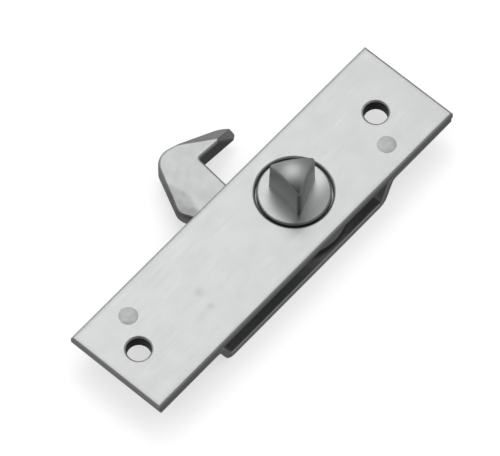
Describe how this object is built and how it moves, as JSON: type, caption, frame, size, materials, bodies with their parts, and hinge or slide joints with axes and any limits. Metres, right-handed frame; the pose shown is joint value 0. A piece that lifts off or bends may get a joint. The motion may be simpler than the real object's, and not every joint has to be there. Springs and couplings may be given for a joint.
{
  "type": "rim lock",
  "caption": "Slim steel rim lock: a three-cornered key post on a round spindle swings a cast hook bolt out from between the front plate and a folded back strip.",
  "frame": {"origin": "midway between the two screw holes, on the plate's front face", "axes": "+X along the plate towards the end nearer the key spindle, +Y towards the side where the hook comes out, +Z out of the front face, along the key's axis"},
  "size_m": [0.0941, 0.0409, 0.0197],
  "materials": {
    "zinc_plated_steel": "satin zinc plate on rolled steel",
    "zinc_plated_rivet": "zinc plate, set smooth by the riveting tool",
    "plated_zinc_casting": "die-cast zinc alloy, satin plated",
    "spring_steel": "tempered spring steel, oiled"
  },
  "bodies": {
    "case": {"front_plate": "zinc_plated_steel", "back_strip": "zinc_plated_steel", "rivet_1": "zinc_plated_rivet", "rivet_2": "zinc_plated_rivet", "disc_spring": "spring_steel", "stop_pin": "zinc_plated_rivet"},
    "hook": {"key_spindle": "plated_zinc_casting", "hook_bolt": "plated_zinc_casting"}
  },
  "joints": [
    {"name": "hook_turn", "type": "hinge", "parent": "case", "child": "hook", "pos_m": [0.01175, 0.0003, 0], "axis": [0, 0, 1], "range_deg": [0, 70]}
  ]
}
